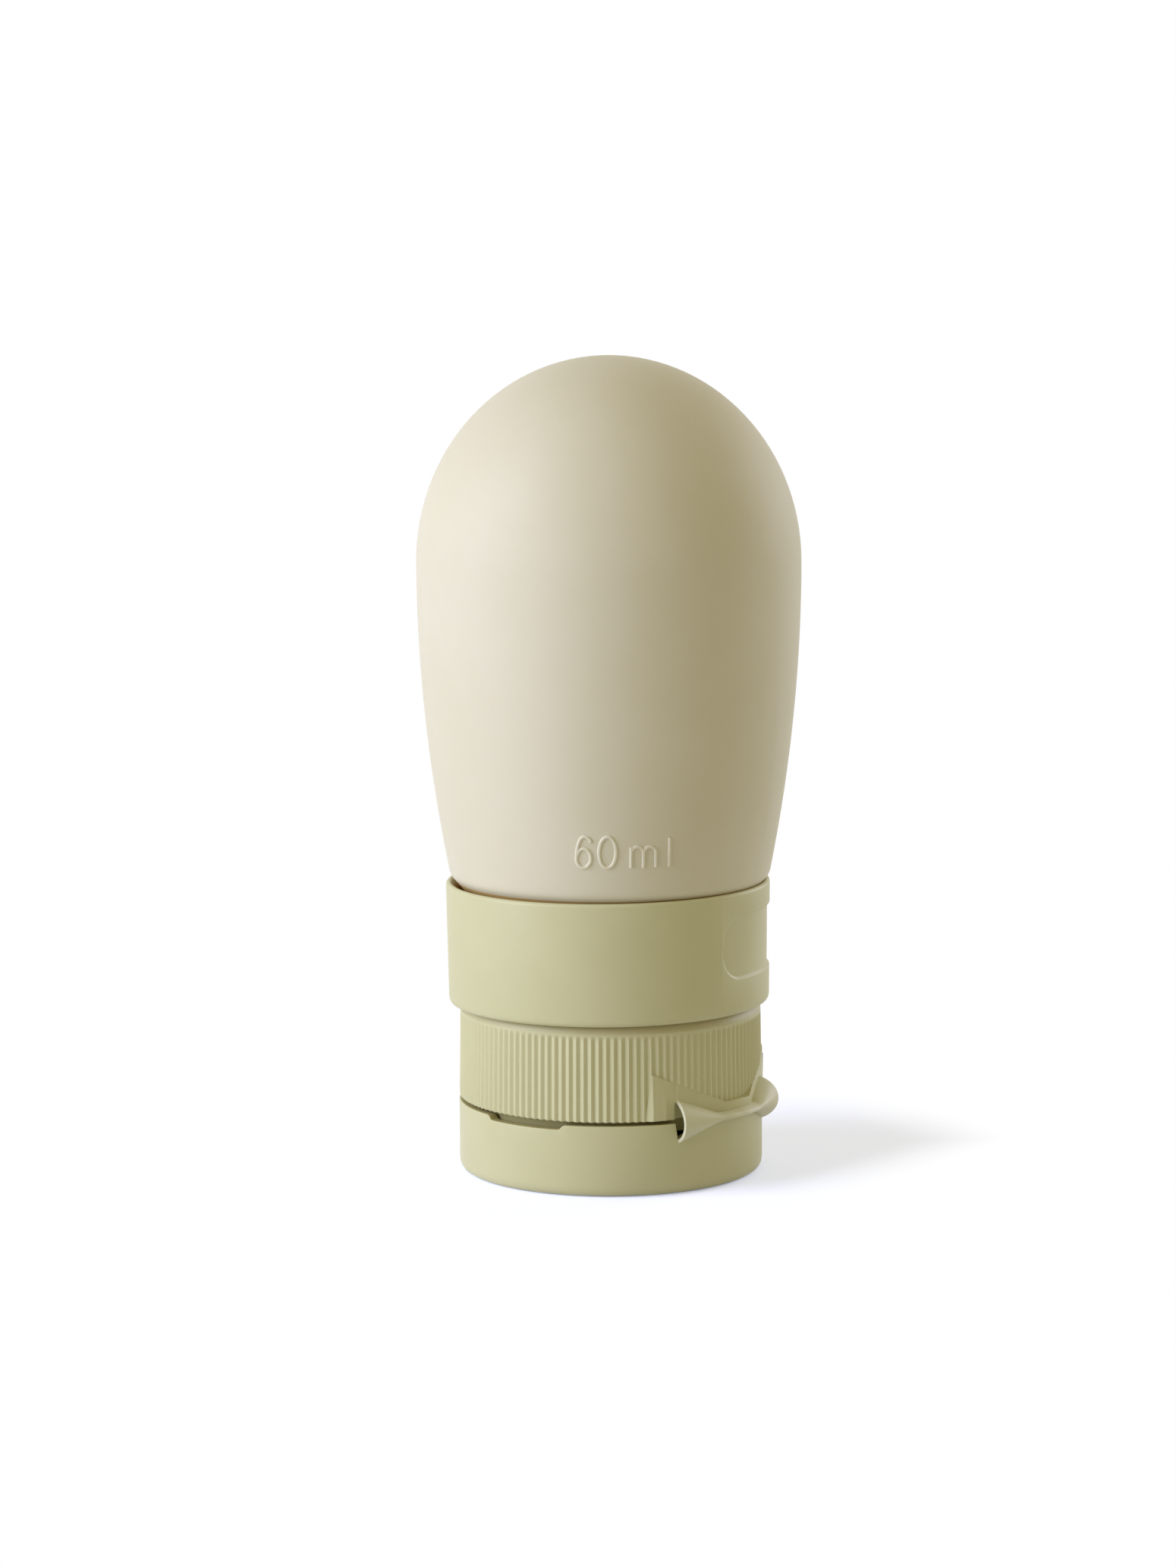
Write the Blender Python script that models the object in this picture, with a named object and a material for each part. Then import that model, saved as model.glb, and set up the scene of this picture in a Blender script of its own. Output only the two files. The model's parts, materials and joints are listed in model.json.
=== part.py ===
# Squeeze travel bottle, standing head down on its flip-top cap: a silicone body on a threaded neck
# sleeve, a loose label collar, a ribbed screw cap with a silicone valve, and a flip lid that hangs
# on a butterfly hinge. Metres, +Z up, origin in the middle of the lid's resting face. The bottle's
# front looks along -Y. Heights run upwards from the lid: each piece stands on the one before it.

import math

import bmesh
import bpy

mm = 0.001
whole_turn = 2 * math.pi
smooth_angle = math.radians(32)

# Fits that several pieces share
clearance = 0.3 * mm
overrun = 1.0 * mm
root_sink = 0.4 * mm

# Neck of the body, the smallest ring that the others are built around
neck_bore_radius = 12.0 * mm
neck_wall = 1.7 * mm
lip_thickness = 1.4 * mm
lip_set_in = 0.1 * mm

# Threaded sleeve over the neck
sleeve_wall = 1.1 * mm
thread_depth = 0.9 * mm
thread_pitch = 4.23 * mm
thread_root_width = 1.6 * mm
thread_crest_width = 0.6 * mm
thread_land = 0.9 * mm
barrel_edge = 0.6 * mm
groove_place_share = 0.55

# Flip lid
lid_height = 8.4 * mm
lid_wall = 1.2 * mm
lid_floor = 2.4 * mm
lid_overhang = 0.05 * mm
lid_edge_round_share = 0.95
plug_radius = 2.7 * mm
plug_wall = 0.9 * mm
plug_depth = 1.6 * mm
plug_taper = 0.3 * mm
notch_depth = 0.55 * mm
notch_half_width = 4.95 * mm
notch_slant = 0.5 * mm

# Screw cap
parting_gap = 0.4 * mm
cap_wall = 1.6 * mm
skirt_height = 11.7 * mm
skirt_draft = 0.15 * mm
shoulder_height = 1.3 * mm
rib_count = 128
rib_depth = 0.25 * mm
rib_fade = 0.6 * mm
rib_stop = 0.4 * mm
plinth_height = 1.6 * mm
deck_thickness = 1.8 * mm
pocket_chamfer = 1.0 * mm
spout_length = 2.4 * mm
spout_wall = 1.4 * mm
spout_floor = 0.6 * mm
well_wall = 1.2 * mm

# Gasket, valve and the ring that holds the valve
gasket_thickness = 1.0 * mm
gasket_reach = 1.0 * mm
valve_bore_radius = 4.5 * mm
valve_ledge = 2.0 * mm
valve_flange = 0.9 * mm
valve_side_gap = 0.6 * mm
valve_wall = 0.5 * mm
valve_head = 0.6 * mm
valve_dome = 0.7 * mm
valve_dome_share = 0.75
valve_slit_length = 4.0 * mm
valve_slit_width = 0.2 * mm
retainer_height = 1.2 * mm
retainer_lip = 0.2 * mm

# Label collar
collar_height = 14.4 * mm
collar_overlap = 0.4 * mm
collar_nest = 0.1 * mm
collar_wall = 1.1 * mm
collar_flare = 0.2 * mm
collar_play = 0.2 * mm
collar_edge_round_share = 0.85
collar_rib_height = 0.7 * mm
collar_rib_width = 0.8 * mm
rim_wall = 0.6 * mm
rim_chamfer = 1.2 * mm
panel_width = 24.0 * mm
panel_height = 7.1 * mm
panel_corner = 2.8 * mm
panel_rise = 0.7 * mm
panel_depth = 0.3 * mm
panel_angle = math.radians(-13.6)

# Body above the neck
body_radius = 22.5 * mm
body_wall = 2.0 * mm
dome_height = 24.0 * mm
flank_length = 36.7 * mm
flank_step = 0.72 * mm
cone_height = 7.8 * mm
tuck_gap = 0.7 * mm
rim_gap = 0.4 * mm
rim_to_flank = 0.8 * mm

# Butterfly hinge and the lands that it stands on
hinge_angle = math.radians(-40)
hinge_pivot_out = 1.0 * mm
hinge_thickness = 0.4 * mm
wing_angle = math.radians(29)
wing_half_height = 2.4 * mm
wing_bulge = 1.48 * mm
waist_angle = math.radians(12)
waist_half_height = 0.3 * mm
waist_bulge = 0.75 * mm
wing_curve_share = 0.92
wing_lean = math.radians(68)
land_normal_angle = math.radians(24)
land_set_in = 0.3 * mm
land_outer_reach = 4.65 * mm
land_outer_height = 5.5 * mm
land_end_run = 0.9 * mm
land_top_run = 0.15 * mm
land_foot_gap = 0.1 * mm
land_trim = 0.1 * mm
strip_rise = 0.37 * mm
strip_height = 1.3 * mm
window_inner_angle = math.radians(12)
window_outer_angle = math.radians(30)
window_edge = 0.3 * mm
skirt_recess_depth = 0.8 * mm

# Faces round each piece
body_sides = 56
neck_sides = 48
collar_sides = 72
cap_sides = rib_count // 2
small_sides = 32
dome_steps = 10
bore_dome_steps = 7
flank_steps = 6
bore_flank_steps = 4
round_steps = 3
thread_steps = 28
thread_run_in = 2
wing_steps = 8
arc_step = math.radians(3)

# Heights, from the lid's resting face up
parting_z = lid_height + parting_gap / 2
skirt_bottom = lid_height + parting_gap
plinth_bottom = skirt_bottom - plinth_height
deck_top = plinth_bottom + deck_thickness
spout_bottom = plinth_bottom - spout_length
bore_floor = plinth_bottom + spout_floor
plug_top = spout_bottom + plug_depth
gasket_bottom = deck_top + clearance
gasket_top = gasket_bottom + gasket_thickness
mouth_z = gasket_top + clearance
lip_top = mouth_z + lip_thickness
sleeve_bottom = lip_top + clearance
skirt_top = skirt_bottom + skirt_height
shoulder_bottom = skirt_top - shoulder_height
rib_top = shoulder_bottom - rib_stop
barrel_bottom = skirt_top + clearance
collar_bottom = skirt_top - collar_overlap
collar_top = collar_bottom + collar_height
tuck_z = collar_top - rim_chamfer
neck_top = tuck_z - cone_height
flank_bottom = collar_top + rim_to_flank
widest_z = flank_bottom + flank_length
body_top = widest_z + dome_height

# Radii, from the neck's bore outwards
neck_radius = neck_bore_radius + neck_wall
sleeve_bore = neck_radius + clearance
thread_root = sleeve_bore + sleeve_wall
thread_crest = thread_root + thread_depth
lip_radius = thread_root - lip_set_in
pocket_radius = lip_radius + clearance
cap_bore = thread_crest + clearance
skirt_radius = cap_bore + cap_wall
lid_radius = skirt_radius + lid_overhang
lid_bore = lid_radius - lid_wall
plinth_radius = lid_bore - clearance
collar_bore = skirt_radius - collar_nest
barrel_radius = collar_bore - clearance - collar_play
shoulder_radius = barrel_radius - collar_nest
collar_foot_radius = collar_bore + collar_wall
collar_head_radius = collar_foot_radius + collar_flare
rim_bore = collar_head_radius - rim_wall
collar_rib_bore = collar_bore - collar_rib_height
groove_radius = collar_rib_bore - clearance - collar_play
tuck_radius = collar_bore - tuck_gap
rim_body_radius = rim_bore - rim_gap
flank_foot_radius = rim_body_radius + flank_step
spout_bore = plug_radius + clearance
spout_radius = spout_bore + spout_wall
well_bore = valve_bore_radius + valve_ledge
well_radius = well_bore + well_wall
hinge_pivot_radius = skirt_radius + hinge_pivot_out
land_plane = skirt_radius - land_set_in
strip_plane = skirt_radius + strip_rise

# Angles from the hinge's middle to the inner and the outer edge of each land
land_inner_angle = math.atan((land_plane / strip_plane - math.cos(land_normal_angle))
                             / math.sin(land_normal_angle))
land_outer_angle = land_normal_angle + math.atan(land_outer_reach / land_plane)

# The valve's stack on the deck
flange_top = gasket_bottom + valve_flange
retainer_bottom = flange_top + clearance
retainer_top = retainer_bottom + retainer_height
well_top = retainer_top + clearance

# The cap's ridge bears on the far flank of the neck's ridge, one clearance away along its slope
flank_run = (thread_root_width - thread_crest_width) / 2
thread_offset = ((thread_root_width + thread_crest_width) / 2
                 + clearance * math.hypot(thread_depth, flank_run) / thread_depth)
neck_thread_low = sleeve_bottom + thread_land + thread_root_width / 2
neck_thread_high = barrel_bottom - thread_land - thread_root_width / 2
cap_thread_low = mouth_z + pocket_chamfer + thread_land + thread_root_width / 2
cap_thread_high = skirt_top - thread_land - thread_root_width / 2
cap_thread_phase = whole_turn * (cap_thread_low - thread_offset - neck_thread_low) / thread_pitch

# Colours of the two mouldings and of the clear silicone inside
cream_silicone = (0.76, 0.71, 0.56)
olive_plastic = (0.66, 0.62, 0.38)
inner_plastic = (0.70, 0.67, 0.48)
clear_silicone = (0.80, 0.80, 0.76)


def polar(radius, angle, z):
    return (radius * math.cos(angle), radius * math.sin(angle), z)


def finish(name, bm, color=None, roughness=0.5):
    # A closed mesh becomes an object at the world's origin, smooth except along its real edges.
    bmesh.ops.recalc_face_normals(bm, faces=bm.faces)
    mesh = bpy.data.meshes.new(name)
    bm.to_mesh(mesh)
    bm.free()
    mesh.shade_smooth()
    mesh.set_sharp_from_angle(angle=smooth_angle)
    piece = bpy.data.objects.new(name, mesh)
    bpy.context.scene.collection.objects.link(piece)
    if color:
        material = bpy.data.materials.new(name)
        material.use_nodes = True
        shader = material.node_tree.nodes["Principled BSDF"]
        shader.inputs["Base Color"].default_value = (*color, 1)
        shader.inputs["Roughness"].default_value = roughness
        shader.inputs["Metallic"].default_value = 0
        mesh.materials.append(material)
    else:
        piece.hide_render = True
        piece.display_type = "WIRE"
    return piece


def stitch(bm, one, other):
    # Faces between two rings. Where one ring has fewer vertices, each of its sides fans out.
    fine, coarse = (one, other) if len(one) >= len(other) else (other, one)
    share = len(fine) // len(coarse)
    for step in range(len(coarse)):
        a, b = coarse[step], coarse[(step + 1) % len(coarse)]
        run = [fine[(step * share + k) % len(fine)] for k in range(share + 1)]
        if len(coarse) == 1:
            for k in range(len(fine)):
                bm.faces.new((fine[k], fine[(k + 1) % len(fine)], a))
        elif share == 1:
            bm.faces.new((run[0], run[1], b, a))
        else:
            middle = share // 2
            for k in range(share):
                bm.faces.new((run[k], run[k + 1], a if k < middle else b))
            bm.faces.new((a, run[middle], b))


def turned(name, outline, sides, color, roughness, looped=True):
    # Turns an outline of (radius, z) about Z. A third value is the depth of the grooves between ribs.
    bm = bmesh.new()
    rings = []
    for radius, z, *groove in outline:
        count = 2 * rib_count if groove else sides
        count = count if radius > 0 else 1
        ring = []
        for step in range(count):
            reach = radius - (groove[0] if groove and step % 2 else 0)
            ring.append(bm.verts.new(polar(reach, whole_turn * step / count, z)))
        rings.append(ring)
    for one, other in zip(rings, rings[1:]):
        stitch(bm, one, other)
    if looped:
        stitch(bm, rings[-1], rings[0])
    return finish(name, bm, color, roughness)


def swept(name, sections):
    # A helper solid through a row of sections with equal point counts, closed at both ends.
    bm = bmesh.new()
    rings = [[bm.verts.new(point) for point in section] for section in sections]
    for one, other in zip(rings, rings[1:]):
        stitch(bm, one, other)
    bm.faces.new(rings[0])
    bm.faces.new(rings[-1])
    return finish(name, bm)


def spread(low, high, step):
    # Even stops from low to high, no further apart than step.
    count = max(1, math.ceil(abs(high - low) / step))
    return [low + (high - low) * k / count for k in range(count + 1)]


def join(piece, tool, operation="UNION"):
    change = piece.modifiers.new(tool.name, "BOOLEAN")
    change.operation = operation
    change.solver = "EXACT"
    change.object = tool
    tool.parent = piece


def cut(piece, tool):
    join(piece, tool, "DIFFERENCE")


def rounded(radius, z, size, start, end):
    # Points of a rounded edge about the centre (radius, z), from one angle to the other.
    stops = [math.radians(start + (end - start) * k / round_steps) for k in range(round_steps + 1)]
    return [(radius + size * math.cos(stop), z + size * math.sin(stop)) for stop in stops]


def thread_ridge(name, wall_radius, depth, low, high, phase):
    # A helical ridge on a wall. A positive depth stands outwards and a negative one inwards.
    side = math.copysign(1, depth)
    count = math.ceil(thread_steps * (high - low) / thread_pitch)
    sections = []
    for step in range(count + 1):
        z = low + (high - low) * step / count
        angle = phase + whole_turn * (z - low) / thread_pitch
        rise = min(1, step / thread_run_in, (count - step) / thread_run_in)
        crest = wall_radius + depth * rise - side * root_sink / 2 * (1 - rise)
        root = wall_radius - side * root_sink
        corners = ((root, -thread_root_width), (crest, -thread_crest_width),
                   (crest, thread_crest_width), (root, thread_root_width))
        sections.append([polar(radius, angle, z + width / 2) for radius, width in corners])
    return swept(name, sections)


def arc_block(name, middle, columns, top_share=1):
    # A block that follows the cap's curve. A column is (angle, inner radius, outer radius, low, high),
    # and the top corners lie top_share times as far round from the middle as the bottom ones.
    sections = []
    for angle, inner, outer, low, high in columns:
        foot, top = middle + angle, middle + angle * top_share
        sections.append([polar(inner, foot, low), polar(outer, foot, low),
                         polar(outer, top, high), polar(inner, top, high)])
    return swept(name, sections)


def flank_radius(z):
    drop = (widest_z - z) / flank_length
    return body_radius - (body_radius - flank_foot_radius) * drop ** 2


def cone_radius(z):
    return neck_radius + (tuck_radius - neck_radius) * (z - neck_top) / cone_height


def collar_radius(z):
    return collar_foot_radius + collar_flare * (z - collar_bottom) / collar_height


def skirt_radius_at(z):
    return skirt_radius - skirt_draft * (z - skirt_bottom) / (shoulder_bottom - skirt_bottom)


def dome(radius, height, steps):
    # Quarter ellipse from the pole down to the widest ring.
    points = [(0, widest_z + height)]
    for step in range(1, steps + 1):
        angle = whole_turn / 4 * step / steps
        points.append((radius * math.sin(angle), widest_z + height * math.cos(angle)))
    return points


def bottle_body():
    outside = dome(body_radius, dome_height, dome_steps)
    for step in range(1, flank_steps + 1):
        z = widest_z - flank_length * step / flank_steps
        outside.append((flank_radius(z), z))
    outside += [(rim_body_radius, collar_top), (tuck_radius, tuck_z), (neck_radius, neck_top),
                (neck_radius, lip_top), (lip_radius, lip_top), (lip_radius, mouth_z)]
    inside = dome(body_radius - body_wall, dome_height - body_wall, bore_dome_steps)
    for step in range(1, bore_flank_steps + 1):
        z = widest_z - flank_length * step / bore_flank_steps
        inside.append((flank_radius(z) - body_wall, z))
    inside += [(rim_body_radius - body_wall, collar_top), (tuck_radius - body_wall, tuck_z),
               (neck_bore_radius, neck_top), (neck_bore_radius, mouth_z)]
    return turned("bottle_body", outside + inside[::-1], body_sides, cream_silicone, 0.55, False)


def neck_sleeve():
    slope = (tuck_radius - neck_radius) / cone_height
    seat_gap = clearance * math.hypot(1, slope)
    barrel_top = neck_top + (barrel_radius - barrel_edge - seat_gap - neck_radius) / slope
    groove_z = barrel_bottom + (barrel_top - barrel_bottom) * groove_place_share
    groove_half = collar_rib_width / 2 + collar_rib_height + clearance
    outline = [(sleeve_bore, sleeve_bottom), (thread_root, sleeve_bottom),
               (thread_root, barrel_bottom), (barrel_radius, barrel_bottom),
               (barrel_radius, groove_z - groove_half), (groove_radius, groove_z - groove_half),
               (groove_radius, groove_z + groove_half), (barrel_radius, groove_z + groove_half),
               (barrel_radius, barrel_top), (cone_radius(barrel_top) + seat_gap, barrel_top),
               (sleeve_bore, neck_top)]
    sleeve = turned("neck_sleeve", outline, neck_sides, inner_plastic, 0.45)
    join(sleeve, thread_ridge("neck_thread_ridge", thread_root, thread_depth,
                              neck_thread_low, neck_thread_high, 0))
    return sleeve, groove_z


def label_collar(groove_z):
    edge = collar_wall * collar_edge_round_share
    half = collar_rib_width / 2
    outline = [(collar_bore, collar_bottom)]
    outline += rounded(collar_foot_radius - edge, collar_bottom + edge, edge, -90, 0)
    outline += [(collar_head_radius, collar_top), (rim_bore, collar_top), (collar_bore, tuck_z),
                (collar_bore, groove_z + half + collar_rib_height), (collar_rib_bore, groove_z + half),
                (collar_rib_bore, groove_z - half), (collar_bore, groove_z - half - collar_rib_height)]
    collar = turned("label_collar", outline, collar_sides, olive_plastic, 0.5)
    middle = (collar_bottom + collar_top) / 2 + panel_rise
    straight = panel_width / 2 - panel_corner
    reaches = spread(-straight, straight, panel_corner)
    ends = [panel_corner * math.sin(whole_turn / 4 * (k + 1) / round_steps) for k in range(round_steps)]
    reaches = [-straight - end for end in ends[::-1]] + reaches + [straight + end for end in ends]
    sections = []
    for reach in reaches:
        past = max(0, abs(reach) - straight)
        half_height = panel_height / 2 - panel_corner + math.sqrt(max(0, panel_corner ** 2 - past ** 2))
        angle = panel_angle + reach / collar_foot_radius
        low, high = middle - half_height, middle + half_height
        sections.append([polar(collar_radius(low) - panel_depth, angle, low),
                         polar(collar_radius(low) + overrun, angle, low),
                         polar(collar_radius(high) + overrun, angle, high),
                         polar(collar_radius(high) - panel_depth, angle, high)])
    cut(collar, swept("label_panel_cutter", sections))
    collar.location.x = -collar_play
    return collar


def cap_gasket():
    inner = neck_bore_radius - gasket_reach
    outline = [(inner, gasket_bottom), (lip_radius, gasket_bottom), (lip_radius, gasket_top),
               (inner, gasket_top)]
    return turned("cap_gasket", outline, neck_sides, clear_silicone, 0.5)


def wing_half(angle):
    # Half the hinge's height at an angle from its middle: a narrow waist that flares into wings.
    along = max(0, (abs(angle) - waist_angle) / (wing_angle - waist_angle))
    return waist_half_height + (wing_half_height - waist_half_height) * along ** wing_curve_share


def wing_reach(angle):
    along = max(0, (abs(angle) - waist_angle) / (wing_angle - waist_angle))
    return waist_bulge + (wing_bulge - waist_bulge) * along


def land_radius(angle):
    # Two flat facets let into the skirt, with a flat strip between them that stands proud of it
    return min(land_plane / math.cos(abs(angle) - land_normal_angle), strip_plane / math.cos(angle))


def land_height(angle):
    # The top edge of a land climbs in a straight line from the strip to the outer end.
    inner_reach = land_plane * math.tan(land_inner_angle - land_normal_angle)
    reach = land_plane * math.tan(max(abs(angle), land_inner_angle) - land_normal_angle)
    along = (reach - inner_reach) / (land_outer_reach - inner_reach)
    return strip_height + (land_outer_height - strip_height) * along


def land_stops():
    side = spread(land_inner_angle, land_outer_angle, arc_step)
    return [-stop for stop in side[::-1]] + side


def hinge_land():
    # A block a little thicker than the lands, which thins out into the ribs beyond both ends
    root = skirt_radius - cap_wall / 2
    low = skirt_bottom + land_foot_gap
    columns = []
    for angle in land_stops():
        trim = land_trim if abs(angle) < land_outer_angle else 0
        columns.append((angle, angle, land_radius(angle) + trim, land_height(angle)))
    for side in (-1, 1):
        foot = side * (land_outer_angle + land_end_run / skirt_radius)
        top = side * (land_outer_angle + land_top_run / skirt_radius)
        end = (foot, top, skirt_radius - skirt_draft, land_outer_height)
        columns.insert(0 if side < 0 else len(columns), end)
    sections = []
    for foot, top, outer, height in columns:
        sections.append([polar(root, hinge_angle + foot, low), polar(outer, hinge_angle + foot, low),
                         polar(outer, hinge_angle + top, skirt_bottom + height),
                         polar(root, hinge_angle + top, skirt_bottom + height)])
    return swept("hinge_land", sections)


def land_cutter():
    # Trims the block and the ribs to the facets, up to just above the lands' top edge
    past = land_top_run / skirt_radius
    stops = land_stops()
    stops = [stops[0] - past] + stops + [stops[-1] + past]
    columns = []
    for angle in stops:
        columns.append((angle, land_radius(angle), skirt_radius + cap_wall, skirt_bottom - overrun,
                        skirt_bottom + land_height(angle) + land_trim))
    return arc_block("land_cutter", hinge_angle, columns)


def window_angles(side):
    # The stretch behind one wing that both the skirt and the lid leave open
    return [side * stop for stop in spread(window_inner_angle, window_outer_angle, arc_step)]


def cap_base():
    valve_gap = [(well_radius, deck_top), (well_radius, well_top), (well_bore, well_top),
                 (well_bore, deck_top), (valve_bore_radius, deck_top), (valve_bore_radius, bore_floor)]
    outline = [(spout_bore, bore_floor), (spout_bore, spout_bottom), (spout_radius, spout_bottom),
               (spout_radius, plinth_bottom), (plinth_radius, plinth_bottom),
               (plinth_radius, skirt_bottom), (skirt_radius, skirt_bottom, rib_depth),
               (skirt_radius_at(rib_top - rib_fade), rib_top - rib_fade, rib_depth),
               (skirt_radius_at(rib_top), rib_top, 0),
               (skirt_radius_at(shoulder_bottom), shoulder_bottom),
               (shoulder_radius, skirt_top), (cap_bore, skirt_top),
               (cap_bore, mouth_z + pocket_chamfer), (pocket_radius, mouth_z),
               (pocket_radius, deck_top)] + valve_gap
    base = turned("cap_base", outline, cap_sides, olive_plastic, 0.45)
    join(base, hinge_land())
    cut(base, land_cutter())
    join(base, thread_ridge("cap_thread_ridge", cap_bore, -thread_depth,
                            cap_thread_low, cap_thread_high, cap_thread_phase))
    for side in (-1, 1):
        columns = []
        for angle in window_angles(side):
            columns.append((angle, skirt_radius - skirt_recess_depth, land_radius(angle) + overrun,
                            skirt_bottom - overrun, parting_z + wing_half(angle) - window_edge))
        cut(base, arc_block(f"skirt_recess_cutter_{side}", hinge_angle, columns))
    return base


def valve():
    side = valve_bore_radius - valve_side_gap
    head_z = bore_floor + clearance
    outline = [(0, head_z + valve_dome), (side / 2, head_z + valve_dome * valve_dome_share), (side, head_z),
               (side, gasket_bottom), (well_bore - clearance, gasket_bottom),
               (well_bore - clearance, flange_top), (side - valve_wall, flange_top),
               (side - valve_wall, head_z + valve_head),
               (side / 2, head_z + valve_head + valve_dome * valve_dome_share),
               (0, head_z + valve_head + valve_dome)]
    body = turned("valve", outline, small_sides, clear_silicone, 0.4, False)
    for number, angle in enumerate((0, whole_turn / 4)):
        bm = bmesh.new()
        bmesh.ops.create_cube(bm, size=1)
        slit_height = 2 * (valve_dome + valve_head)
        bmesh.ops.scale(bm, vec=(valve_slit_length, valve_slit_width, slit_height), verts=bm.verts)
        slit = finish(f"valve_slit_cutter_{number}", bm)
        slit.location.z = head_z + valve_head
        slit.rotation_euler.z = angle
        cut(body, slit)
    return body


def valve_retainer():
    inner = valve_bore_radius + retainer_lip
    outer = well_bore - clearance
    outline = [(inner, retainer_bottom), (outer, retainer_bottom), (outer, retainer_top - retainer_lip),
               (outer - retainer_lip, retainer_top), (inner + retainer_lip, retainer_top),
               (inner, retainer_top - retainer_lip)]
    return turned("valve_retainer", outline, small_sides, inner_plastic, 0.45)


def flip_lid():
    edge = lid_wall * lid_edge_round_share
    outline = [(0, 0)] + rounded(lid_radius - edge, edge, edge, -90, 0)
    outline += [(lid_radius, lid_height), (lid_bore, lid_height), (lid_bore, lid_floor),
                (plug_radius, lid_floor), (plug_radius, spout_bottom), (plug_radius - plug_taper, plug_top),
                (plug_radius - plug_wall, plug_top), (plug_radius - plug_wall, lid_floor), (0, lid_floor)]
    lid = turned("flip_lid", outline, cap_sides, olive_plastic, 0.45, False)
    half_angle = notch_half_width / lid_radius
    slant_share = 1 + notch_slant * (notch_depth + overrun) / (notch_depth * notch_half_width)
    for side in (-1, 1):
        columns = []
        for angle in spread(-half_angle, half_angle, arc_step):
            columns.append((angle, lid_bore - overrun, lid_radius + overrun,
                            lid_height - notch_depth, lid_height + overrun))
        middle = hinge_angle + side * whole_turn / 4
        cut(lid, arc_block(f"grip_notch_cutter_{side}", middle, columns, slant_share))
        columns = []
        for angle in window_angles(side):
            columns.append((angle, lid_bore - overrun, lid_radius + overrun,
                            parting_z - wing_half(angle) + window_edge, lid_height + overrun))
        cut(lid, arc_block(f"hinge_window_cutter_{side}", hinge_angle, columns))
    return lid


def butterfly_hinge():
    # A thin shell across the parting line. Each column is an arc that leaves the cap at a slant.
    bm = bmesh.new()
    columns = []
    for angle in spread(-wing_angle, wing_angle, arc_step):
        head = land_radius(angle) + clearance + hinge_thickness / 2
        foot = lid_radius + clearance + hinge_thickness / 2
        column = []
        for step in range(wing_steps + 1):
            lean = wing_lean * (2 * step / wing_steps - 1)
            out = (math.cos(lean) - math.cos(wing_lean)) / (1 - math.cos(wing_lean))
            rise = math.sin(lean) / math.sin(wing_lean)
            radius = (foot + head) / 2 + (head - foot) / 2 * rise + wing_reach(angle) * out
            z = parting_z + wing_half(angle) * rise
            column.append(bm.verts.new(polar(radius, hinge_angle + angle, z)))
        columns.append(column)
    for one, other in zip(columns, columns[1:]):
        for step in range(wing_steps):
            bm.faces.new((one[step], other[step], other[step + 1], one[step + 1]))
    hinge = finish("butterfly_hinge", bm, olive_plastic, 0.45)
    wall = hinge.modifiers.new("wall", "SOLIDIFY")
    wall.thickness = hinge_thickness
    wall.offset = 0
    wall.use_even_offset = True
    return hinge


def hold(name, place, pieces):
    # An empty on a joint's axis. The pieces keep their world places under it.
    axis = bpy.data.objects.new(name, None)
    axis.location = place
    bpy.context.scene.collection.objects.link(axis)
    for piece in pieces:
        piece.parent = axis
        piece.location = [was - moved for was, moved in zip(piece.location, place)]


def main():
    for old in list(bpy.data.objects):
        bpy.data.objects.remove(old, do_unlink=True)
    bottle_body()
    sleeve, groove_z = neck_sleeve()
    label_collar(groove_z)
    gasket = cap_gasket()
    base = cap_base()
    hold("cap_axis", (0, 0, 0), [gasket, base, valve(), valve_retainer()])
    pivot = polar(hinge_pivot_radius, hinge_angle, parting_z)
    hold("lid_hinge_axis", pivot, [flip_lid(), butterfly_hinge()])
    bpy.context.view_layer.update()


main()
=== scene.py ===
import json
import math

import bmesh
import bpy
from mathutils import Matrix, Vector


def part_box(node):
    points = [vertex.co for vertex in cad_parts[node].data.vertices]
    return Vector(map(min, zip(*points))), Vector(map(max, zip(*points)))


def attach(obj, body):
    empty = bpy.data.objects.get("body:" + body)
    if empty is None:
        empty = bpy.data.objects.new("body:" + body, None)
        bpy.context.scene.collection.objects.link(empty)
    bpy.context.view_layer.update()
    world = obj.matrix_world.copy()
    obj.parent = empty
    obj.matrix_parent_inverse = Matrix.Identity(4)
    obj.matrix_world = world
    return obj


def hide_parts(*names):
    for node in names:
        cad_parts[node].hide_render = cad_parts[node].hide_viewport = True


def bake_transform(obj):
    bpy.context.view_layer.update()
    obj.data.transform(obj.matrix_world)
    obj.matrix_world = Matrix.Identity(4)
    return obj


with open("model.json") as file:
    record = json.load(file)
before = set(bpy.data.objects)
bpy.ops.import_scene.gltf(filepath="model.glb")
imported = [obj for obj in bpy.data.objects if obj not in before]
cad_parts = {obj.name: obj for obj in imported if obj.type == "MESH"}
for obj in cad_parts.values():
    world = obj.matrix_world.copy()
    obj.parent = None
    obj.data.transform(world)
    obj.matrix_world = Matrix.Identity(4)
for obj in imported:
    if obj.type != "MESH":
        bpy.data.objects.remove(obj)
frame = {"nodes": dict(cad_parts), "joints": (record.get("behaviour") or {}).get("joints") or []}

# Looks for the squeeze travel bottle. Metres, as in the frame, with sizes written in millimetres.
mm = 0.001
fullTurn = 2 * math.pi
mergeGap = 0.002 * mm
smoothAngle = math.radians(32)
viewAngle = math.radians(-94.6)  # the photograph's side, a little left of the front
white = (1, 1, 1, 1)
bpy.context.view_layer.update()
print("frame loaded, nodes:", len(frame["nodes"]))

# The hinge's place comes from the lid's own joint
lidJoint = next(joint for joint in frame["joints"] if joint["name"] == "lid_flip")
pivot = Vector(lidJoint["pos_m"])
hingeAngle = math.atan2(pivot.y, pivot.x)
partingHeight = pivot.z


# Ways of working

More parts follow.
